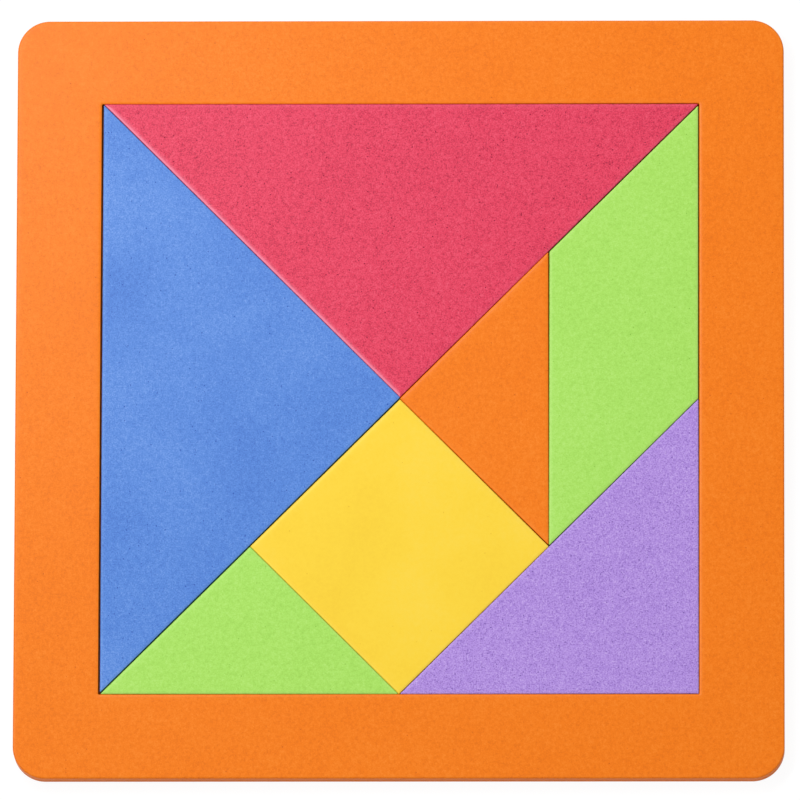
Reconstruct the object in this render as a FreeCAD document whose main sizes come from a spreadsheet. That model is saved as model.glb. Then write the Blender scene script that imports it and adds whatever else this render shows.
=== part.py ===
# Tangram puzzle in a soft foam tray.
#
# A base sheet and a frame sheet of foam are glued together and die-cut to one rounded square. The
# frame sheet has a square window, and seven die-cut tans lie loose in it, flush with its top.
# Millimetres. The origin is the middle of the underside, +Z is up and +Y is away from the player.

import FreeCAD, Part
import Sketcher
import math
import os

SIZES = {
    "border_width": 22.1,
    "corner_radius": 8.4,
    "base_thickness": 2.0,
    "frame_thickness": 4.0,
    "window_side": 155.8,
    "window_corner_radius": 0.3,
    "tan_thickness": 4.0,
    "tan_gap": 0.18,
    "tan_corner_radius": 0.3,
    "tray_edge_round": 0.5,
    "window_edge_round": 0.15,
    "tan_edge_round": 0.12,
}

# The tans share out the window like this, with x and y in shares of the square that they make up.
# Each tan is drawn from one corner of its share, and edge_angle is where its first edge points.
# The three shares say how it came to lie in its play. They are shares of the gap: how far right
# and up it has slid, and how far the end of the first edge has swung anticlockwise.
TANS = {
    "large_triangle_red": {
        "form": "large_triangle", "corner_share": (0.0, 0.0), "edge_angle": 45,
        "right_share": 0.65, "up_share": 0.49, "turn_share": -0.46,
    },
    "large_triangle_blue": {
        "form": "large_triangle", "corner_share": (0.0, 0.0), "edge_angle": 135,
        "right_share": 1.49, "up_share": 0.83, "turn_share": -0.11,
    },
    "medium_triangle_purple": {
        "form": "medium_triangle", "corner_share": (0.5, -0.5), "edge_angle": 90,
        "right_share": 0.41, "up_share": -0.48, "turn_share": 0.36,
    },
    "small_triangle_orange": {
        "form": "small_triangle", "corner_share": (0.0, 0.0), "edge_angle": -45,
        "right_share": -0.37, "up_share": -0.85, "turn_share": 0.65,
    },
    "small_triangle_green": {
        "form": "small_triangle", "corner_share": (-0.25, -0.25), "edge_angle": 225,
        "right_share": 1.11, "up_share": -0.70, "turn_share": -0.20,
    },
    "square_yellow": {
        "form": "square", "corner_share": (0.0, 0.0), "edge_angle": 225,
        "right_share": 0.70, "up_share": -1.18, "turn_share": -0.21,
    },
    "parallelogram_green": {
        "form": "parallelogram", "corner_share": (0.25, -0.25), "edge_angle": 45,
        "right_share": -0.54, "up_share": -1.41, "turn_share": -0.13,
    },
}

TRAY_SIDE = "(sizes.window_side + 2 * sizes.border_width)"

# The square that the tans make up is one gap smaller than the window, so that a tan in the middle
# of its play is a whole gap away from the window's wall and from its neighbours.
TAN_SQUARE = "(sizes.window_side - sizes.tan_gap)"
HALF_GAP = "(sizes.tan_gap / 2)"
FIRST_EDGE = {
    "large_triangle": f"{TAN_SQUARE} / sqrt(2)",
    "medium_triangle": f"{TAN_SQUARE} / 2",
    "small_triangle": f"{TAN_SQUARE} / sqrt(8)",
    "square": f"{TAN_SQUARE} / sqrt(8)",
    "parallelogram": f"{TAN_SQUARE} / sqrt(8)",
}
LONG_EDGE = f"{TAN_SQUARE} / 2"

ORIGIN = -1
START, END = 1, 2
VOLUME_TOLERANCE = 0.01
LEVEL_TOLERANCE = 1e-4

doc = FreeCAD.newDocument("tangram_puzzle")


def make_sheet():
    """Puts the driving dimensions and each tan's resting place into the spreadsheet."""
    sheet = doc.addObject("Spreadsheet::Sheet", "sizes")
    rows = dict(SIZES)
    for tan, facts in TANS.items():
        for way in ("right_share", "up_share", "turn_share"):
            rows[f"{tan}_{way}"] = facts[way]
    for row, (alias, value) in enumerate(rows.items(), start=1):
        sheet.set(f"A{row}", alias)
        sheet.set(f"B{row}", str(value))
        sheet.setAlias(f"B{row}", alias)
    doc.recompute()
    return sheet


def size(alias):
    return float(doc.sizes.get(alias))


def new_sketch(body, name):
    """Adds a sketch on the body's own XY plane."""
    plane = next(f for f in body.Origin.OriginFeatures if f.Role == "XY_Plane")
    sketch = body.newObject("Sketcher::SketchObject", name)
    sketch.AttachmentSupport = [(plane, "")]
    sketch.MapMode = "FlatFace"
    return sketch


def constrain(sketch, name, constraint, expression):
    """Adds a dimension to the sketch, names it and binds it to the spreadsheet."""
    sketch.addConstraint(constraint)
    sketch.renameConstraint(sketch.ConstraintCount - 1, name)
    sketch.setExpression(f"Constraints.{name}", expression)


def draw_outline(sketch, corners):
    """Draws a closed outline through the corners, roughly where its dimensions will put them."""
    points = [FreeCAD.Vector(x, y, 0) for x, y in corners]
    for start, end in zip(points, points[1:] + points[:1]):
        sketch.addGeometry(Part.LineSegment(start, end), False)
    for line in range(len(points)):
        following = (line + 1) % len(points)
        sketch.addConstraint(Sketcher.Constraint("Coincident", line, END, following, START))


def place_first_corner(sketch, x_expression, y_expression):
    """Sets how far the outline's first corner lies from the corner of the tan's share."""
    x_offset = Sketcher.Constraint("DistanceX", ORIGIN, START, 0, START, 1.0)
    y_offset = Sketcher.Constraint("DistanceY", ORIGIN, START, 0, START, 1.0)
    constrain(sketch, "corner_x", x_offset, x_expression)
    constrain(sketch, "corner_y", y_offset, y_expression)


def draw_triangle(sketch, leg):
    """A right triangle with equal legs, half a gap inside its share of the window."""
    guess = size("window_side") / 2
    draw_outline(sketch, [(1, 1), (guess, 1), (1, guess)])
    sketch.addConstraint(Sketcher.Constraint("Horizontal", 0))
    sketch.addConstraint(Sketcher.Constraint("Vertical", 2))
    sketch.addConstraint(Sketcher.Constraint("Equal", 0, 2))
    place_first_corner(sketch, HALF_GAP, HALF_GAP)
    inset_leg = f"{leg} - {HALF_GAP} * (2 + sqrt(2))"
    constrain(sketch, "leg", Sketcher.Constraint("Distance", 0, guess), inset_leg)


def draw_square(sketch, side):
    """A square, half a gap inside its share of the window."""
    guess = size("window_side") / 3
    draw_outline(sketch, [(1, 1), (guess, 1), (guess, guess), (1, guess)])
    for line in (0, 2):
        sketch.addConstraint(Sketcher.Constraint("Horizontal", line))
    for line in (1, 3):
        sketch.addConstraint(Sketcher.Constraint("Vertical", line))
    sketch.addConstraint(Sketcher.Constraint("Equal", 0, 1))
    place_first_corner(sketch, HALF_GAP, HALF_GAP)
    constrain(sketch, "side", Sketcher.Constraint("Distance", 0, guess), f"{side} - 2 * {HALF_GAP}")


def draw_parallelogram(sketch, short_edge, long_edge):
    """A parallelogram with 45 degree points, half a gap inside its share of the window."""
    guess = size("window_side") / 3
    draw_outline(sketch, [(1, 1), (guess, 1), (2 * guess, guess), (guess, guess)])
    sketch.addConstraint(Sketcher.Constraint("Horizontal", 0))
    sketch.addConstraint(Sketcher.Constraint("Parallel", 0, 2))
    sketch.addConstraint(Sketcher.Constraint("Parallel", 1, 3))
    sketch.addConstraint(Sketcher.Constraint("Angle", 0, START, 3, END, math.radians(45)))
    place_first_corner(sketch, f"{HALF_GAP} * (1 + sqrt(2))", HALF_GAP)
    inset = f"{HALF_GAP} * sqrt(8)"
    constrain(sketch, "short_edge", Sketcher.Constraint("Distance", 0, guess), f"{short_edge} - {inset}")
    constrain(sketch, "long_edge", Sketcher.Constraint("Distance", 1, guess), f"{long_edge} - {inset}")


def draw_centred_square(sketch, side_expression):
    """A square about the sketch's origin."""
    guess = size("window_side") / 3
    draw_outline(sketch, [(-guess, -guess), (guess, -guess), (guess, guess), (-guess, guess)])
    for line in (0, 2):
        sketch.addConstraint(Sketcher.Constraint("Horizontal", line))
    for line in (1, 3):
        sketch.addConstraint(Sketcher.Constraint("Vertical", line))
    sketch.addConstraint(Sketcher.Constraint("Equal", 0, 1))
    sketch.addConstraint(Sketcher.Constraint("Symmetric", 0, START, 1, END, ORIGIN, START))
    constrain(sketch, "side", Sketcher.Constraint("Distance", 0, 2 * guess), side_expression)


def pad(body, sketch, thickness):
    feature = body.newObject("PartDesign::Pad", f"{sketch.Name}_pad")
    feature.Profile = sketch
    feature.setExpression("Length", f"sizes.{thickness}")
    doc.recompute()
    return feature


def is_upright(edge):
    """Tells whether the edge runs straight up."""
    box = edge.BoundBox
    return box.XLength < LEVEL_TOLERANCE and box.YLength < LEVEL_TOLERANCE


def lies_at(edge, level):
    """Tells whether the whole edge lies at one height."""
    box = edge.BoundBox
    return abs(box.ZMin - level) < LEVEL_TOLERANCE and abs(box.ZMax - level) < LEVEL_TOLERANCE


def lies_within(edge, half_side):
    """Tells whether the edge is inside a centred square."""
    box = edge.BoundBox
    reach = max(abs(box.XMin), abs(box.XMax), abs(box.YMin), abs(box.YMax))
    return reach < half_side + LEVEL_TOLERANCE


def round_edges(body, base, name, radius, wanted):
    """Rounds the edges of the base feature that the wanted test picks."""
    names = [f"Edge{i}" for i, edge in enumerate(base.Shape.Edges, start=1) if wanted(edge)]
    if not names:
        raise RuntimeError(f"{body.Label} has no edges for {name}")
    feature = body.newObject("PartDesign::Fillet", f"{body.Name}_{name}")
    feature.Base = (base, names)
    feature.setExpression("Radius", f"sizes.{radius}")
    doc.recompute()
    return feature


def cut_window(body, base):
    """Cuts the square window through the frame sheet and makes sure that it really cut."""
    sketch = new_sketch(body, f"{body.Name}_window")
    draw_centred_square(sketch, "sizes.window_side")
    pocket = body.newObject("PartDesign::Pocket", f"{body.Name}_window_cut")
    pocket.Profile = sketch
    pocket.Type = "ThroughAll"
    pocket.Reversed = True
    doc.recompute()
    removed = base.Shape.Volume - pocket.Shape.Volume
    wanted = size("window_side") ** 2 * size("frame_thickness")
    if abs(removed - wanted) > VOLUME_TOLERANCE * wanted:
        raise RuntimeError(f"the window cut took {removed:.0f} cubic mm, not {wanted:.0f}")
    return pocket


def make_base_sheet():
    """The sheet under everything. Its outline is the tray's, cut in the same stroke."""
    body = doc.addObject("PartDesign::Body", "base_sheet")
    sketch = new_sketch(body, "base_sheet_outline")
    draw_centred_square(sketch, TRAY_SIDE)
    sheet = pad(body, sketch, "base_thickness")
    corners = round_edges(body, sheet, "corners", "corner_radius", is_upright)
    round_edges(body, corners, "lower_edge", "tray_edge_round", lambda edge: lies_at(edge, 0.0))
    return body


def make_frame():
    """The sheet with the window, glued on the base sheet."""
    body = doc.addObject("PartDesign::Body", "frame")
    sketch = new_sketch(body, "frame_outline")
    draw_centred_square(sketch, TRAY_SIDE)
    sheet = pad(body, sketch, "frame_thickness")
    corners = round_edges(body, sheet, "corners", "corner_radius", is_upright)
    window = cut_window(body, corners)
    top = size("frame_thickness")
    window_half = size("window_side") / 2

    def is_window_corner(edge):
        return is_upright(edge) and lies_within(edge, window_half)

    def is_window_rim(edge):
        return lies_at(edge, top) and lies_within(edge, window_half)

    def is_outer_rim(edge):
        return lies_at(edge, top) and not lies_within(edge, window_half)

    inner = round_edges(body, window, "window_corners", "window_corner_radius", is_window_corner)
    outer_rim = round_edges(body, inner, "outer_rim", "tray_edge_round", is_outer_rim)
    round_edges(body, outer_rim, "window_rim", "window_edge_round", is_window_rim)
    body.setExpression("Placement.Base.z", "sizes.base_thickness")
    return body


def make_tan(name, facts):
    """One loose tan: its outline, its blunt corners and the soft upper edge that the die leaves."""
    body = doc.addObject("PartDesign::Body", name)
    sketch = new_sketch(body, f"{name}_outline")
    first_edge = FIRST_EDGE[facts["form"]]
    if facts["form"] == "square":
        draw_square(sketch, first_edge)
    elif facts["form"] == "parallelogram":
        draw_parallelogram(sketch, first_edge, LONG_EDGE)
    else:
        draw_triangle(sketch, first_edge)
    sheet = pad(body, sketch, "tan_thickness")
    corners = round_edges(body, sheet, "corners", "tan_corner_radius", is_upright)
    top = size("tan_thickness")
    round_edges(body, corners, "upper_edge", "tan_edge_round", lambda edge: lies_at(edge, top))
    lay_in_window(body, facts, first_edge)
    return body


def lay_in_window(body, facts, first_edge):
    """Lays the tan on the base sheet, in its share of the window and as it came to lie there."""
    share_x, share_y = facts["corner_share"]
    name = body.Name
    swing = f"asin(sizes.{name}_turn_share * sizes.tan_gap / ({first_edge}))"
    body.Placement = FreeCAD.Placement(
        FreeCAD.Vector(), FreeCAD.Rotation(FreeCAD.Vector(0, 0, 1), facts["edge_angle"])
    )
    body.setExpression(
        "Placement.Base.x", f"{share_x} * {TAN_SQUARE} + sizes.{name}_right_share * sizes.tan_gap"
    )
    body.setExpression(
        "Placement.Base.y", f"{share_y} * {TAN_SQUARE} + sizes.{name}_up_share * sizes.tan_gap"
    )
    body.setExpression("Placement.Base.z", "sizes.base_thickness")
    body.setExpression("Placement.Rotation.Angle", f"{facts['edge_angle']} deg + {swing}")


def check_document(bodies):
    """Stops if anything failed to compute or if a piece is not one valid solid."""
    for thing in doc.Objects:
        if "Invalid" in thing.State or "Error" in thing.State:
            raise RuntimeError(f"{thing.Label} failed: {thing.State}")
    for body in bodies:
        if body.Shape.isNull() or not body.Shape.isValid() or len(body.Shape.Solids) != 1:
            raise RuntimeError(f"{body.Label} is not one valid solid")


def write_parts(bodies):
    os.makedirs("parts", exist_ok=True)
    for body in bodies:
        body.Shape.exportStep(f"parts/{body.Label}.step")
        box = body.Shape.optimalBoundingBox()
        print(f"{body.Label}: {body.Shape.Volume:.1f} cubic mm, from ({box.XMin:.2f}, {box.YMin:.2f}, "
              f"{box.ZMin:.2f}) to ({box.XMax:.2f}, {box.YMax:.2f}, {box.ZMax:.2f})")


make_sheet()
pieces = [make_base_sheet(), make_frame()]
pieces += [make_tan(name, facts) for name, facts in TANS.items()]
doc.recompute()
check_document(pieces)
write_parts(pieces)
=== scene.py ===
"""Looks of a foam tangram: a tray of two glued foam sheets, with seven loose tans in its square window.

Each piece is a sheet of foam cut with a blade, so one class makes them all. It reads the outline of the
solid that it stands for, and gives it cut walls that are a little hollow, faces that swell a little and sag
towards their edges, rims of pale cut foam with a painted highlight, and open pores. Small dark marks paint
the shade in finer pores and in the open cells of cut walls. Lengths are in millimetres until a mesh is made.
"""

import math
import random

import bpy
from mathutils import Matrix, Vector, geometry, kdtree, noise


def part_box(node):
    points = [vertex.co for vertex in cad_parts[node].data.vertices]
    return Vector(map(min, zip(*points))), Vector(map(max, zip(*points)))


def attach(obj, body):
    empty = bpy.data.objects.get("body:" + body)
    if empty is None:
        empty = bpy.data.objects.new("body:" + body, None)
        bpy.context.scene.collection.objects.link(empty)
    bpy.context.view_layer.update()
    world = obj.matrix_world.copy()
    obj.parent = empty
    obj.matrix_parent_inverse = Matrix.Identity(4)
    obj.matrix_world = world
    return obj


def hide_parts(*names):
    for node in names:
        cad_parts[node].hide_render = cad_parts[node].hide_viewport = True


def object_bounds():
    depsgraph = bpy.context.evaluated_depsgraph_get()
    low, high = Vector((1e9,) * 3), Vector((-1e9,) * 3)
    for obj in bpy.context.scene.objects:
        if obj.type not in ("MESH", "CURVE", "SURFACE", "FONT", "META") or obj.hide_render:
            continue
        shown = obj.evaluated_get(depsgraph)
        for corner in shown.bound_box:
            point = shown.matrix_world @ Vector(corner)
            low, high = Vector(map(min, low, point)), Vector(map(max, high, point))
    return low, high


MM = 0.001

# The photograph: a square picture, taken from far away and almost from above
PICTURE_SIDE = 800
SENSOR_WIDTH = 36.0
PIXELS_PER_MM = 3.8465
CAMERA_DISTANCE = 3772.0
CAMERA_OFF_CENTRE = (0.133, -0.577)
CAMERA_LEAN = math.radians(-9.86)
CAMERA_SWING = math.radians(-1.46)
CAMERA_ROLL = math.radians(-0.18)

# The nearest and the farthest thing that the camera sees, in metres
CAMERA_RANGE = (0.1, 100.0)

# Reading a solid: a straight side is at least so long, and its parts turn by less than so much
LONG_SIDE = 20.0
SAME_WAY = math.radians(1.0)

# The foot of the window: the lowest share of the frame's height, within a share of its half width
WINDOW_FOOT = 0.25
WINDOW_REACH = 0.95

# Steps along an outline, round a corner of it, over a rounded edge and up a wall
RING_STEP = 0.5
ARC_STEPS = 6
ROUND_STEPS = 4
WALL_STEPS = 4

# A cut wall is a little hollow, and wavers to and fro
CUT_HOLLOW = 0.05
EDGE_WAVER = 0.015
EDGE_WAVE = 2.6

# Radii of the rounded edges: outside on the tray, on top of a fresh cut, at its foot and at the glue
TRAY_ROUND = 0.35
CUT_ROUND = 0.06
FOOT_ROUND = 0.08
GLUED_ROUND = 0.12

# The blade leaves the tips of the tans sharper than their solids
TIP_SHARE = 0.5

# Rows of a face that follow its edges, by how far in they lie and how much pale cut fuzz and painted
# highlight they carry. The first ones go on from the rounded edge. The free ones lie in the net of the face,
# are measured from the outline itself, and keep a least radius at its corners
RIM_INSETS = (0.03, 0.06)
RIM_FUZZ_AND_HIGHLIGHT = (0.3, 0.6)
FREE_INSETS = (0.2, 0.28, 0.4, 0.56, 0.84)
FREE_FUZZ_AND_HIGHLIGHT = (0.75, 0.8, 0.62, 0.44, 0.16)
LEAST_RADIUS = 0.05

# How strong the pale fuzz and painted highlight of a common rim are beside those of the rim on the side that
# faces the light, and how closely that strongest painted highlight keeps to its side
COMMON_FUZZ_AND_HIGHLIGHT = 0.15
HIGHLIGHT_FOCUS = 8

# A visible face sags at its edges, over a short reach, and swells in slow waves. The noise of each sheet
# starts somewhere in a wide span, so that no two are alike
DROOP = 0.3
DROOP_REACH = 0.22
SWELL = 0.03
SWELL_WAVE = 5.0
NOISE_SPAN = 99

# The net of points in a face: how far its points stray, as a share of their spacing, and its clear margin.
# A face that is glued or lies on another has the widest net
NET_JITTER = 0.28
NET_MARGIN = 1.2
UNDERSIDE_NET = 1.4
HIDDEN_NET = 6.0

# How a net is filled with triangles: only inside its edges, and with points joined that lie this close
FILL_INSIDE = 1
FILL_TOLERANCE = 1e-6

# Open pores, as real hollows in a face: their sides, shares of their radius, and their clear margin
PORE_SIDES = 8
PORE_FLOOR = 0.55
PORE_FLOOR_DEPTH = 1.5
PORE_FOOT_DEPTH = 1.1
PORE_COLLAR = 1.35
PORE_MARGIN = 1.5

# Seeds of the random draws
BASE_SEED = 1
FRAME_SEED = 2
FIRST_TAN_SEED = 10

# Grain, mottling and drift of the tone: how many waves there are in a millimetre, and in how much detail
GRAIN = (2.7, 1.0)
MOTTLE = (1.1, 2.0)
DRIFT = (0.035, 2.0)
NOISE_ROUGHNESS = 0.6

# Pits are small dark marks of painted shade in pores, and cut foam shows its open cells, darkened with
# painted
# shade. For both: the cells in a millimetre, and the radius of a mark in cells. A mark has its full depth
# within a share of that radius
PITS_PER_MM = 1.3
PIT_RADIUS = 0.28
PIT_CORE = 0.4
CUT_CELLS_PER_MM = 1.8
CUT_CELL_RADIUS = 0.5
CUT_CELL_SHARE = 0.7
CUT_CELL_SHADE = 0.14

# The tone of a foam is 0 at its deep colour, 1 at its pale colour, and this at its own colour
MIDDLE_TONE = 0.5

# The skin of all foams
FOAM_SHINE = 0.2
FOAM_ROUGHNESS = 0.38
RELIEF_HEIGHT = 0.1

# Studio light: places and sides of the lamps in metres and their power in watts, and how bright the room is
# beside the white that the camera sees
SOFTBOXES = {
    "long_softbox": {"place": (-1.25, 0.85, 2.6), "sides": (3.2, 0.5), "watts": 39.5},
    "top_softbox": {"place": (-0.17, 0.19, 0.5), "sides": (0.15, 0.15), "watts": 0.72},
}
WHITE = (1, 1, 1, 1)
ROOM_LIGHT = 0.5

# The white table: its half width in metres, and how far it lies below the tray. The camera sees its glow and
# a little of the light that falls on it, and everything else is lit by the plain grey that it bounces
TABLE_HALF = 3.0
TABLE_DROP = 0.02
TABLE_BOUNCE = (0.8, 0.8, 0.8, 1)
TABLE_SHADE = (0.1, 0.1, 0.1, 1)
TABLE_GLOW = 0.925

# Each foam: its colour, the deep colour of its lowest grain and of the painted shade in its pits, the pale
# colour of its highest grain and the colour of its palest rim, where pale cut fuzz and the painted highlight
# are strongest; how strongly grain, mottling and drift change its tone; the share of its pits and how deep
# their painted shade is; how strongly its relief shows; the spacing of the net in its faces; and its open
# pores. These lie one to a cell, in a share of the cells, with a radius between the least and the largest
FOAMS = {
    "orange_foam": {
        "colour": (246, 124, 3),
        "deep": (212, 86, 0),
        "pale": (255, 154, 56),
        "rim": (255, 156, 84),
        "grain": 0.37,
        "mottle": 0.50,
        "drift": 0.14,
        "pit_share": 0.01,
        "pit_shade": 0.4,
        "relief": 0.25,
        "net": 0.8,
        "pore_cell": 2.4,
        "pore_share": 0.03,
        "pore_radius": (0.06, 0.09),
    },
    "red_foam": {
        "colour": (227, 59, 91),
        "deep": (150, 8, 50),
        "pale": (244, 96, 124),
        "rim": (255, 156, 182),
        "grain": 0.95,
        "mottle": 0.66,
        "drift": 0.12,
        "pit_share": 0.06,
        "pit_shade": 0.9,
        "relief": 0.6,
        "net": 0.6,
        "pore_cell": 1.3,
        "pore_share": 0.16,
        "pore_radius": (0.08, 0.19),
    },
    "blue_foam": {
        "colour": (86, 136, 218),
        "deep": (42, 84, 180),
        "pale": (138, 176, 240),
        "rim": (150, 190, 248),
        "grain": 0.75,
        "mottle": 0.40,
        "drift": 0.34,
        "pit_share": 0.05,
        "pit_shade": 0.7,
        "relief": 0.5,
        "net": 0.6,
        "pore_cell": 1.5,
        "pore_share": 0.12,
        "pore_radius": (0.07, 0.13),
    },
    "purple_foam": {
        "colour": (176, 140, 224),
        "deep": (116, 82, 172),
        "pale": (210, 184, 242),
        "rim": (216, 192, 246),
        "grain": 1.22,
        "mottle": 0.48,
        "drift": 0.10,
        "pit_share": 0.07,
        "pit_shade": 0.7,
        "relief": 0.6,
        "net": 0.6,
        "pore_cell": 1.3,
        "pore_share": 0.14,
        "pore_radius": (0.07, 0.15),
    },
    "green_foam": {
        "colour": (170, 226, 98),
        "deep": (126, 190, 54),
        "pale": (202, 242, 142),
        "rim": (206, 246, 158),
        "grain": 0.42,
        "mottle": 0.44,
        "drift": 0.10,
        "pit_share": 0.02,
        "pit_shade": 0.4,
        "relief": 0.35,
        "net": 0.8,
        "pore_cell": 2.0,
        "pore_share": 0.03,
        "pore_radius": (0.06, 0.09),
    },
    "yellow_foam": {
        "colour": (252, 213, 56),
        "deep": (232, 180, 24),
        "pale": (255, 228, 112),
        "rim": (255, 238, 150),
        "grain": 0.08,
        "mottle": 0.20,
        "drift": 0.32,
        "pit_share": 0.01,
        "pit_shade": 0.4,
        "relief": 0.2,
        "net": 0.8,
        "pore_cell": 2.6,
        "pore_share": 0.03,
        "pore_radius": (0.06, 0.09),
    },
}

TRAY_FOAM = "orange_foam"

TANS = {
    "large_triangle_red": "red_foam",
    "large_triangle_blue": "blue_foam",
    "medium_triangle_purple": "purple_foam",
    "small_triangle_orange": "orange_foam",
    "small_triangle_green": "green_foam",
    "square_yellow": "yellow_foam",
    "parallelogram_green": "green_foam",
}

# The way that a side faces where its rim carries a much stronger painted highlight, as that side catches the
# light
HIGHLIGHT_SIDES = {"large_triangle_red": Vector((-1, -1)).normalized()}


# Outlines, read from the solids


def plan_points(node):
    """Places of a solid's vertices from above."""
    return [Vector((v.co.x / MM, v.co.y / MM)) for v in node.data.vertices]


def window_points(node):
    """Places of the vertices at the foot of the frame's window, from above."""
    low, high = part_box(node.name)
    foot = low.z + (high.z - low.z) * WINDOW_FOOT
    reach = high.x * WINDOW_REACH
    found = []
    for vertex in node.data.vertices:
        spot = vertex.co
        if spot.z < foot and max(abs(spot.x), abs(spot.y)) < reach:
            found.append(Vector((spot.x / MM, spot.y / MM)))
    return found


def long_sides(hull):
    """Straight sides of a convex outline, as pairs of end points, counter-clockwise."""
    sides = []
    for start, end in zip(hull, hull[1:] + hull[:1]):
        if (end - start).length < LONG_SIDE:
            continue
        if sides and (sides[-1][1] - sides[-1][0]).angle(end - start) < SAME_WAY:
            sides[-1] = (sides[-1][0], end)
        else:
            sides.append((start, end))
    if (sides[-1][1] - sides[-1][0]).angle(sides[0][1] - sides[0][0]) < SAME_WAY:
        start = sides.pop()[0]
        sides[0] = (start, sides[0][1])
    return sides


def crossing(first, second):
    """Where the lines through two sides cross."""
    way = first[1] - first[0]
    other = second[1] - second[0]
    share = (second[0] - first[0]).cross(other) / way.cross(other)
    return first[0] + way * share


def read_outline(points):
    """Sharp corners, counter-clockwise, and corner radius of the convex outline round some points."""
    hull = [points[i] for i in geometry.convex_hull_2d(points)]
    doubled_area = sum(a.cross(b) for a, b in zip(hull, hull[1:] + hull[:1]))
    if doubled_area < 0:
        hull.reverse()
    sides = long_sides(hull)
    corners = []
    radii = []
    for before, after in zip(sides[-1:] + sides[:-1], sides):
        corner = crossing(before, after)
        turn = (before[1] - before[0]).angle(after[1] - after[0])
        corners.append(corner)
        radii.append((corner - before[1]).length / math.tan(turn / 2))
    return corners, sum(radii) / len(radii)


def outward(way):
    """The normal to the right of a way, which points out of a counter-clockwise outline."""
    return Vector((way.y, -way.x))


def bend(before, corner, after, radius):
    """Points round one corner of an outline, each with its outward normal."""
    way_in = (corner - before).normalized()
    way_out = (after - corner).normalized()
    turn = way_in.angle(way_out)
    start = corner - way_in * radius * math.tan(turn / 2)
    centre = start - outward(way_in) * radius
    steps = max(ARC_STEPS, math.ceil(radius * turn / RING_STEP))
    arc = []
    for k in range(steps + 1):
        angle = turn * k / steps
        normal = outward(way_in) * math.cos(angle) + way_in * math.sin(angle)
        arc.append((centre + normal * radius, normal))
    return arc


def straight_run(start, end):
    """Points between the end of one bend and the start of the next, each with its outward normal."""
    steps = max(1, round((end[0] - start[0]).length / RING_STEP))
    return [(start[0].lerp(end[0], k / steps), end[1]) for k in range(1, steps)]


def outline_ring(corners, radius):
    """Points along a rounded outline, counter-clockwise, each with its outward normal."""
    befores = corners[-1:] + corners[:-1]
    afters = corners[1:] + corners[:1]
    bends = [bend(*three, radius) for three in zip(befores, corners, afters)]
    ring = []
    for arc, next_arc in zip(bends, bends[1:] + bends[:1]):
        ring += arc
        ring += straight_run(arc[-1], next_arc[0])
    return ring


def inner_ring(corners, radius):
    """The ring of a hole: clockwise, with normals that point into the hole."""
    return [(point, -normal) for point, normal in reversed(outline_ring(corners, radius))]


def shrunk(corners, inset):
    """The sharp corners of an outline whose sides have all moved inward."""
    sides = []
    for start, end in zip(corners, corners[1:] + corners[:1]):
        shift = outward((end - start).normalized()) * -inset
        sides.append((start + shift, end + shift))
    return [crossing(before, after) for before, after in zip(sides[-1:] + sides[:-1], sides)]


def depth_inside(point, corners, radius):
    """About how far a point lies inside a convex outline with rounded corners."""
    depths = sorted(
        -(point - start).dot(outward((end - start).normalized()))
        for start, end in zip(corners, corners[1:] + corners[:1])
    )
    nearest, second = depths[:2]
    if second < radius:
        return radius - math.hypot(radius - nearest, radius - second)
    return nearest


# The form of a cut sheet of foam


def cut_profile(low, high, low_round, high_round):
    """Rows of a cut wall, from its bottom face to its top face: height, inset, cut tone and rim tone of pale
    fuzz and painted highlight.
    """
    rows = []
    for k in range(ROUND_STEPS + 1):
        turn = math.pi / 2 * k / ROUND_STEPS
        cut = min(k, 1)
        rows.append((low + low_round * (1 - math.cos(turn)), low_round * (1 - math.sin(turn)), cut, 0))
    wall_low = low + low_round
    wall_high = high - high_round
    for k in range(1, WALL_STEPS):
        share = k / WALL_STEPS
        hollow = CUT_HOLLOW * math.sin(math.pi * share)
        rows.append((wall_low + (wall_high - wall_low) * share, hollow, 1, 0))
    for k in range(ROUND_STEPS + 1):
        turn = math.pi / 2 * k / ROUND_STEPS
        cut = min(ROUND_STEPS - k, 1)
        # The top of the round starts the rim's pale fuzz and painted highlight
        rim = (1 - cut) * RIM_FUZZ_AND_HIGHLIGHT[0]
        rows.append((high - high_round * (1 - math.sin(turn)), high_round * (1 - math.cos(turn)), cut, rim))
    for inset, rim in zip(RIM_INSETS, RIM_FUZZ_AND_HIGHLIGHT):
        rows.append((high, high_round + inset, 0, rim))
    return rows


def noise_share(point, height, wave):
    """Smooth noise from 0 to 1 at a place."""
    value = noise.noise(Vector((point.x, point.y, height)) / wave)
    return min(max(0.5 + 0.5 * value, 0.0), 1.0)


def grid_points(low, high, spacing):
    """Points of a grid of equal triangles over a box."""
    row_height = spacing * math.sqrt(3) / 2
    rows = math.ceil((high.y - low.y) / row_height)
    columns = math.ceil((high.x - low.x) / spacing)
    for row in range(rows + 1):
        shift = spacing / 2 * (row % 2)
        for column in range(columns + 1):
            yield Vector((low.x + column * spacing + shift, low.y + row * row_height))


def pore_places(centre, radius, turn):
    """Vertices of one open pore, each with how far it is sunk: floor, foot of its wall, rim and collar."""
    places = [(centre, radius * PORE_FLOOR_DEPTH)]
    for i in range(PORE_SIDES):
        angle = turn + math.tau * i / PORE_SIDES
        rim = Vector((math.cos(angle), math.sin(angle))) * radius
        places.append((centre + rim * PORE_FLOOR, radius * PORE_FOOT_DEPTH))
        places.append((centre + rim, 0.0))
        places.append((centre + rim * PORE_COLLAR, 0.0))
    return places


def off_the_foam(triangle, ring):
    """Whether a triangle only joins points of one ring, on the side of it that holds no foam."""
    first, second, third = triangle
    if not all(spot in ring for spot in triangle):
        return False
    return not (first < second < third or second < third < first or third < first < second)


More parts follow.
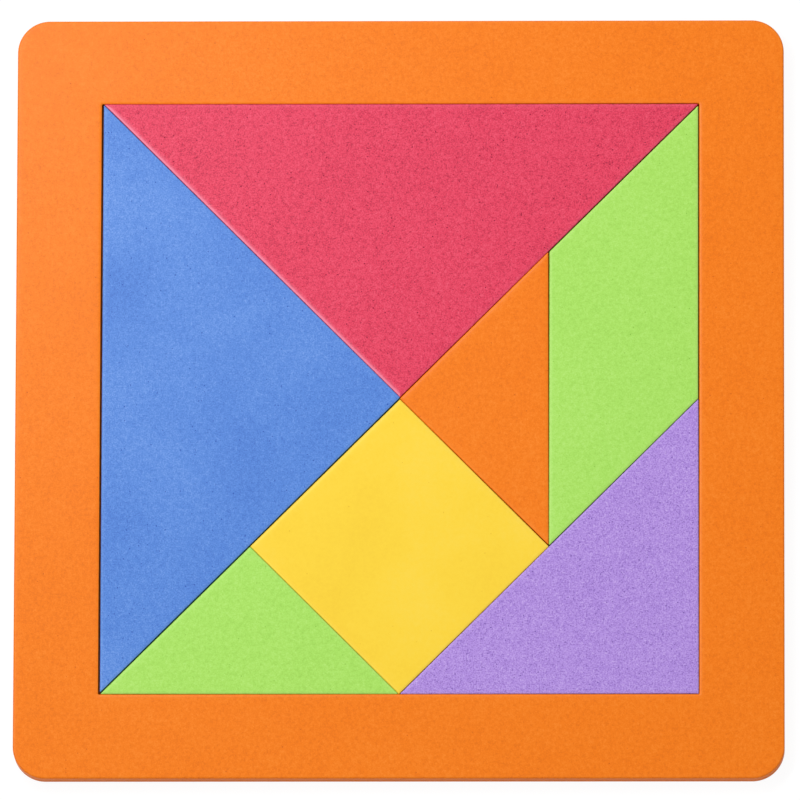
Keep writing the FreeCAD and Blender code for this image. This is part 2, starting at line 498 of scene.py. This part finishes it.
class Sheet:
    """One cut sheet of foam, with the outline of the solid that it stands for."""

    def __init__(self, node, seed, outer_round, corner_share=1.0):
        low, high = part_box(node.name)
        self.low = low.z / MM
        self.high = high.z / MM
        corners, radius = read_outline(plan_points(node))
        self.outer = (corners, radius * corner_share)
        self.outer_round = outer_round
        self.window = None
        self.highlight_way = HIGHLIGHT_SIDES.get(node.name, Vector((0, 0)))
        self.random = random.Random(seed)
        self.offset = Vector((self.random.uniform(0, NOISE_SPAN), self.random.uniform(0, NOISE_SPAN)))
        self.points = []
        self.tones = []
        self.faces = []

    def plan_box(self):
        """Lowest and highest corner of the outline."""
        corners = self.outer[0]
        low = Vector((min(c.x for c in corners), min(c.y for c in corners)))
        high = Vector((max(c.x for c in corners), max(c.y for c in corners)))
        return low, high

    def depth(self, point):
        """About how far a point lies from the nearest edge of the sheet."""
        depth = depth_inside(point, *self.outer)
        if self.window:
            depth = min(depth, -depth_inside(point, *self.window))
        return depth

    def lowering(self, point, depth):
        """How far a visible face lies inside the height of its solid."""
        droop = DROOP * math.exp(-max(depth, 0) / DROOP_REACH)
        return droop + SWELL * noise_share(point + self.offset, 0, SWELL_WAVE)

    def rim_fuzz_and_highlight(self, normal):
        """How strong the rim's pale fuzz and painted highlight are on the side that faces this way, most of
        all on the side that faces the light.
        """
        facing = max(normal.dot(self.highlight_way), 0.0) ** HIGHLIGHT_FOCUS
        return COMMON_FUZZ_AND_HIGHLIGHT + (1 - COMMON_FUZZ_AND_HIGHLIGHT) * facing

    def add_point(self, plan, height, cut=0.0, rim=0.0):
        """Adds a vertex with its tones of cut foam and of a rim's pale fuzz and painted highlight, and
        returns its number.
        """
        self.points.append((plan.x, plan.y, height))
        self.tones.append((cut, rim))
        return len(self.points) - 1

    def add_walls(self, ring, low_round, high_round):
        """Cuts a wall along a ring. Returns the numbers of its lowest and its highest row."""
        rows = []
        middle = (self.low + self.high) / 2
        for height, inset, cut, rim in cut_profile(self.low, self.high, low_round, high_round):
            row = []
            for plan, normal in ring:
                waver = EDGE_WAVER * noise_share(plan + self.offset, height, EDGE_WAVE)
                spot = plan - normal * (inset + waver)
                sink = self.lowering(spot, inset) * max(height - middle, 0) / (self.high - middle)
                row.append(self.add_point(spot, height - sink, cut, rim * self.rim_fuzz_and_highlight(normal)))
            rows.append(row)
        for lower, upper in zip(rows, rows[1:]):
            for i, number in enumerate(lower):
                self.faces.append((lower[i - 1], number, upper[i], upper[i - 1]))
        return rows[0], rows[-1]

    def strayed(self, point, spacing):
        """A point of a grid, moved at random by some share of the spacing."""
        jitter = Vector((self.random.uniform(-1, 1), self.random.uniform(-1, 1)))
        return point + jitter * spacing * NET_JITTER

    def place_pores(self, cell, share, radii):
        """Pores at random, most of them small and at most one in each cell: centre, radius and turn."""
        pores = []
        least, largest = radii
        for plan in grid_points(*self.plan_box(), cell):
            spot = self.strayed(plan, cell)
            chosen = self.random.random() < share
            size = self.random.random() ** 2
            turn = self.random.uniform(0, math.tau)
            if chosen and self.depth(spot) > PORE_MARGIN:
                pores.append((spot, least + (largest - least) * size, turn))
        return pores

    def net_points(self, spacing, pores):
        """A loose net of points for a face, clear of its edges and its pores."""
        near = kdtree.KDTree(max(len(pores), 1))
        for i, (centre, _, _) in enumerate(pores):
            near.insert(centre.to_3d(), i)
        near.balance()
        net = []
        for plan in grid_points(*self.plan_box(), spacing):
            spot = self.strayed(plan, spacing)
            if self.depth(spot) < NET_MARGIN:
                continue
            _, i, distance = near.find(spot.to_3d()) if pores else (None, None, math.inf)
            if i is None or distance > pores[i][1] * PORE_COLLAR + spacing / 4:
                net.append(spot)
        return net

    def free_rows(self):
        """Points that follow a face's edges, with their rim tones of pale fuzz and painted highlight.
        Outside, they start past the wall.
        """
        spots = []
        for inset, tone in zip(FREE_INSETS, FREE_FUZZ_AND_HIGHLIGHT):
            corners, radius = self.outer
            ring = []
            if inset > self.outer_round + RIM_INSETS[-1]:
                ring = outline_ring(shrunk(corners, inset), max(radius - inset, LEAST_RADIUS))
            if self.window:
                corners, radius = self.window
                ring += inner_ring(shrunk(corners, -inset), radius + inset)
            spots += [(spot, tone * self.rim_fuzz_and_highlight(normal)) for spot, normal in ring]
        return spots

    def add_face(self, rows, spacing, pores, top):
        """Fills a face between its edge rows with a net and pores. A hidden face is flat and plain."""
        hidden = spacing == HIDDEN_NET
        height = self.high if top else self.low
        into = -1 if top else 1
        numbers = [number for row in rows for number in row]
        plans = [Vector(self.points[number][:2]) for number in numbers]
        edges = []
        rings = []
        for row in rows:
            start = len(edges)
            edges += [(start + i, start + (i + 1) % len(row)) for i in range(len(row))]
            rings.append(range(start, len(edges)))
        places = [(spot, 0.0, 0.0) for spot in self.net_points(spacing, pores)]
        for centre, radius, turn in pores:
            places += [(spot, sink, 0.0) for spot, sink in pore_places(centre, radius, turn)]
        if not hidden:
            places += [(spot, 0.0, rim) for spot, rim in self.free_rows()]
        for spot, sink, rim in places:
            lowering = 0.0 if hidden else self.lowering(spot, self.depth(spot))
            numbers.append(self.add_point(spot, height + into * (lowering + sink), rim=rim))
            plans.append(spot)
        filled = geometry.delaunay_2d_cdt(plans, edges, [], FILL_INSIDE, FILL_TOLERANCE, True)
        triangles, origins = filled[2], filled[3]
        for triangle in triangles:
            spots = [origins[i][0] for i in triangle]
            if any(off_the_foam(spots, ring) for ring in rings):
                continue
            face = [numbers[spot] for spot in spots]
            self.faces.append(tuple(face if top else reversed(face)))

    def make_object(self, name):
        """The finished sheet as an object, in metres."""
        mesh = bpy.data.meshes.new(name)
        mesh.from_pydata([Vector(point) * MM for point in self.points], [], self.faces)
        # The rim tone paints a highlight on the rims over their pale cut fuzz
        for kind, tones in zip(("cut", "rim"), zip(*self.tones)):
            mesh.attributes.new(kind, "FLOAT", "POINT").data.foreach_set("value", tones)
        mesh.validate()
        mesh.shade_smooth()
        piece = bpy.data.objects.new(name, mesh)
        bpy.context.scene.collection.objects.link(piece)
        return piece


# Materials


def linear(colour):
    """A colour as a picture stores it, 0 to 255, as the light that it stands for."""
    parts = []
    for value in colour:
        share = value / 255
        parts.append(share / 12.92 if share <= 0.04045 else ((share + 0.055) / 1.055) ** 2.4)
    return (*parts, 1.0)


def feed(tree, socket, value):
    """Links an output to an input, or gives the input a plain value."""
    if isinstance(value, bpy.types.NodeSocket):
        tree.links.new(value, socket)
    else:
        socket.default_value = value


def add_node(tree, kind, settings=None, **inputs):
    """Adds a node. An input is a value or the output that it is linked to, and _ in its name is a space."""
    made = tree.nodes.new(kind)
    for key, value in (settings or {}).items():
        setattr(made, key, value)
    for key, value in inputs.items():
        feed(tree, made.inputs[key.replace("_", " ")], value)
    return made


def combine(tree, operation, first, second):
    """The result of an operation on two values."""
    both = add_node(tree, "ShaderNodeMath", {"operation": operation})
    feed(tree, both.inputs[0], first)
    feed(tree, both.inputs[1], second)
    return both.outputs["Value"]


def mix_in(tree, share, first, second):
    """A colour with some share of a second one mixed in. The mixer's colours are its inputs 6 and 7."""
    mixed = add_node(tree, "ShaderNodeMix", {"data_type": "RGBA"})
    feed(tree, mixed.inputs[0], share)
    feed(tree, mixed.inputs[6], first)
    feed(tree, mixed.inputs[7], second)
    return mixed.outputs[2]


def noise_around_zero(tree, place, pattern, weight):
    """Noise from about minus half to half of a weight."""
    scale, detail = pattern
    made = add_node(
        tree, "ShaderNodeTexNoise", Vector=place, Scale=scale, Detail=detail, Roughness=NOISE_ROUGHNESS
    )
    return add_node(
        tree,
        "ShaderNodeMapRange",
        {"clamp": False},
        Value=made.outputs["Fac"],
        To_Min=-weight / 2,
        To_Max=weight / 2,
    ).outputs["Result"]


def pit_marks(tree, place, scale, radius, share, weight):
    """Small round marks: a weight inside a share of the cells, fading out at a radius."""
    cells = add_node(tree, "ShaderNodeTexVoronoi", Vector=place, Scale=scale)
    mark = add_node(
        tree,
        "ShaderNodeMapRange",
        {"interpolation_type": "SMOOTHSTEP"},
        Value=cells.outputs["Distance"],
        From_Min=radius * PIT_CORE,
        From_Max=radius,
        To_Min=weight,
        To_Max=0.0,
    )
    split = add_node(tree, "ShaderNodeSeparateColor", Color=cells.outputs["Color"])
    chosen = combine(tree, "LESS_THAN", split.outputs["Red"], share)
    return combine(tree, "MULTIPLY", mark.outputs["Result"], chosen)


def foam_tone(tree, look):
    """The tone of a foam around zero, and the part of it that is also its relief."""
    spot = add_node(tree, "ShaderNodeTexCoord").outputs["Object"]
    place = add_node(
        tree, "ShaderNodeVectorMath", {"operation": "SCALE"}, Vector=spot, Scale=1 / MM
    ).outputs["Vector"]
    grain = noise_around_zero(tree, place, GRAIN, look["grain"])
    mottle = noise_around_zero(tree, place, MOTTLE, look["mottle"])
    drift = noise_around_zero(tree, place, DRIFT, look["drift"])
    # Pits and the open cells of cut walls darken the tone with painted shade, and also sink the relief
    pits = pit_marks(tree, place, PITS_PER_MM, PIT_RADIUS, look["pit_share"], -look["pit_shade"])
    cells = pit_marks(tree, place, CUT_CELLS_PER_MM, CUT_CELL_RADIUS, CUT_CELL_SHARE, -CUT_CELL_SHADE)
    cut = add_node(tree, "ShaderNodeAttribute", {"attribute_name": "cut"}).outputs["Fac"]
    open_cells = combine(tree, "MULTIPLY", cut, cells)
    skin = combine(tree, "ADD", combine(tree, "ADD", grain, mottle), pits)
    relief = combine(tree, "ADD", skin, open_cells)
    return combine(tree, "ADD", relief, drift), relief


def foam_colour(tree, tone, look):
    """The colour that belongs to a tone, from the deep one to the pale one, and paler still on the rims,
    where pale cut fuzz and a painted highlight are mixed in.
    """
    ramp = add_node(tree, "ShaderNodeValToRGB", Fac=combine(tree, "ADD", tone, MIDDLE_TONE))
    stops = ramp.color_ramp.elements
    stops[0].color = linear(look["deep"])
    stops[1].color = linear(look["pale"])
    stops.new(MIDDLE_TONE).color = linear(look["colour"])
    rim = add_node(tree, "ShaderNodeAttribute", {"attribute_name": "rim"}).outputs["Fac"]
    return mix_in(tree, rim, ramp.outputs["Color"], linear(look["rim"]))


def foam_material(name, look):
    """Foam with a dull shine, whose grain shows in its colour and as a fine relief."""
    material = bpy.data.materials.new(name)
    material.use_nodes = True
    tree = material.node_tree
    shader = tree.nodes["Principled BSDF"]
    tone, relief = foam_tone(tree, look)
    feed(tree, shader.inputs["Base Color"], foam_colour(tree, tone, look))
    bump = add_node(
        tree, "ShaderNodeBump", Strength=look["relief"], Distance=RELIEF_HEIGHT * MM, Height=relief
    )
    feed(tree, shader.inputs["Normal"], bump.outputs["Normal"])
    shader.inputs["Specular IOR Level"].default_value = FOAM_SHINE
    shader.inputs["Roughness"].default_value = FOAM_ROUGHNESS
    return material


# The stage


def floor_material():
    """White for the camera, with the shadow kept faint, and a plain grey bounce for everything else."""
    material = bpy.data.materials.new("white_table")
    material.use_nodes = True
    tree = material.node_tree
    tree.nodes.remove(tree.nodes["Principled BSDF"])
    output = tree.nodes["Material Output"]
    ray = add_node(tree, "ShaderNodeLightPath").outputs["Is Camera Ray"]
    bounce = add_node(tree, "ShaderNodeBsdfDiffuse", Color=TABLE_BOUNCE)
    shade = add_node(tree, "ShaderNodeBsdfDiffuse", Color=TABLE_SHADE)
    glow = add_node(tree, "ShaderNodeEmission", Color=WHITE, Strength=TABLE_GLOW)
    seen = add_node(tree, "ShaderNodeAddShader")
    feed(tree, seen.inputs[0], shade.outputs[0])
    feed(tree, seen.inputs[1], glow.outputs[0])
    mixed = add_node(tree, "ShaderNodeMixShader", Fac=ray)
    feed(tree, mixed.inputs[1], bounce.outputs[0])
    feed(tree, mixed.inputs[2], seen.outputs[0])
    feed(tree, output.inputs["Surface"], mixed.outputs[0])
    return material


def add_floor():
    """A wide white table under the tray."""
    half = TABLE_HALF
    height = -TABLE_DROP * MM
    mesh = bpy.data.meshes.new("table_top")
    corners = [(-half, -half, height), (half, -half, height), (half, half, height), (-half, half, height)]
    mesh.from_pydata(corners, [], [(0, 1, 2, 3)])
    mesh.materials.append(floor_material())
    floor = bpy.data.objects.new("table_top", mesh)
    bpy.context.scene.collection.objects.link(floor)


def add_world():
    """A plain white room, which the camera sees as white."""
    world = bpy.data.worlds.new("white_room")
    world.use_nodes = True
    bpy.context.scene.world = world
    tree = world.node_tree
    background = tree.nodes["Background"]
    ray = add_node(tree, "ShaderNodeLightPath").outputs["Is Camera Ray"]
    strength = add_node(tree, "ShaderNodeMapRange", Value=ray, To_Min=ROOM_LIGHT, To_Max=1.0)
    feed(tree, background.inputs["Strength"], strength.outputs["Result"])
    background.inputs["Color"].default_value = WHITE


def add_softbox(name, place, sides, watts):
    """A lamp of a length and a height that faces the middle of the tray."""
    lamp = bpy.data.lights.new(name, "AREA")
    lamp.shape = "RECTANGLE"
    lamp.size, lamp.size_y = sides
    lamp.energy = watts
    softbox = bpy.data.objects.new(name, lamp)
    softbox.location = place
    softbox.rotation_mode = "QUATERNION"
    softbox.rotation_quaternion = Vector(place).to_track_quat("Z", "Y")
    bpy.context.scene.collection.objects.link(softbox)


def add_camera(tray_top):
    """The photograph's view."""
    data = bpy.data.cameras.new("photo_camera")
    data.sensor_width = SENSOR_WIDTH
    data.lens = PIXELS_PER_MM * CAMERA_DISTANCE * SENSOR_WIDTH / PICTURE_SIDE
    data.clip_start, data.clip_end = CAMERA_RANGE
    to_camera = (
        Matrix.Rotation(CAMERA_ROLL, 3, "Z")
        @ Matrix.Rotation(CAMERA_LEAN, 3, "X")
        @ Matrix.Rotation(CAMERA_SWING, 3, "Y")
    )
    to_world = to_camera.transposed()
    away = to_world @ Vector((*CAMERA_OFF_CENTRE, CAMERA_DISTANCE))
    camera = bpy.data.objects.new("photo_camera", data)
    camera.matrix_world = Matrix.Translation((away + Vector((0, 0, tray_top))) * MM) @ to_world.to_4x4()
    bpy.context.scene.collection.objects.link(camera)
    bpy.context.scene.camera = camera


# The pieces


def finish_piece(sheet, node_name, slot, materials):
    """Turns a sheet into the piece that stands for its solid."""
    piece = sheet.make_object(node_name + "_foam")
    piece.data.materials.append(materials[slot])
    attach(piece, "root")
    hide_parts(node_name)


def face_pores(sheet, look):
    """The open pores of a visible face."""
    return sheet.place_pores(look["pore_cell"], look["pore_share"], look["pore_radius"])


def make_tan(nodes, name, slot, seed, materials):
    """A loose tan, with finely rounded edges and sharp tips."""
    look = FOAMS[slot]
    sheet = Sheet(nodes[name], seed, CUT_ROUND, TIP_SHARE)
    bottom, top = sheet.add_walls(outline_ring(*sheet.outer), FOOT_ROUND, CUT_ROUND)
    sheet.add_face([top], look["net"], face_pores(sheet, look), True)
    sheet.add_face([bottom], HIDDEN_NET, [], False)
    finish_piece(sheet, name, slot, materials)


def make_frame(nodes, seed, materials):
    """The sheet with the window."""
    look = FOAMS[TRAY_FOAM]
    sheet = Sheet(nodes["frame"], seed, TRAY_ROUND)
    sheet.window = read_outline(window_points(nodes["frame"]))
    outer_bottom, outer_top = sheet.add_walls(outline_ring(*sheet.outer), GLUED_ROUND, TRAY_ROUND)
    inner_bottom, inner_top = sheet.add_walls(inner_ring(*sheet.window), FOOT_ROUND, CUT_ROUND)
    sheet.add_face([outer_top, inner_top], look["net"], face_pores(sheet, look), True)
    sheet.add_face([outer_bottom, inner_bottom], HIDDEN_NET, [], False)
    finish_piece(sheet, "frame", TRAY_FOAM, materials)


def make_base(nodes, seed, materials):
    """The sheet under the frame. Its visible face is the underside."""
    sheet = Sheet(nodes["base_sheet"], seed, TRAY_ROUND)
    bottom, top = sheet.add_walls(outline_ring(*sheet.outer), TRAY_ROUND, GLUED_ROUND)
    sheet.add_face([top], HIDDEN_NET, [], True)
    sheet.add_face([bottom], UNDERSIDE_NET, face_pores(sheet, FOAMS[TRAY_FOAM]), False)
    finish_piece(sheet, "base_sheet", TRAY_FOAM, materials)


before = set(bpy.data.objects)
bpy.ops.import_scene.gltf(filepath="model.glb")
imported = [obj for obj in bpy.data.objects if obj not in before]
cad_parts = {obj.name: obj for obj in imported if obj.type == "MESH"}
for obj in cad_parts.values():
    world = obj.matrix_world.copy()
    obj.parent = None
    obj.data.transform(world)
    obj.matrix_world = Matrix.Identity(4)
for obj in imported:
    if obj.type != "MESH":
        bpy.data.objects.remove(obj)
cad_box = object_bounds()
foams = {slot: foam_material(slot, look) for slot, look in FOAMS.items()}
make_base(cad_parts, BASE_SEED, foams)
make_frame(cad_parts, FRAME_SEED, foams)
for number, (tan, slot) in enumerate(TANS.items()):
    make_tan(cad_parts, tan, slot, FIRST_TAN_SEED + number, foams)
add_floor()
add_world()
for name, softbox in SOFTBOXES.items():
    add_softbox(name, **softbox)
add_camera(cad_box[1].z / MM)
bpy.context.scene.view_settings.view_transform = "Standard"
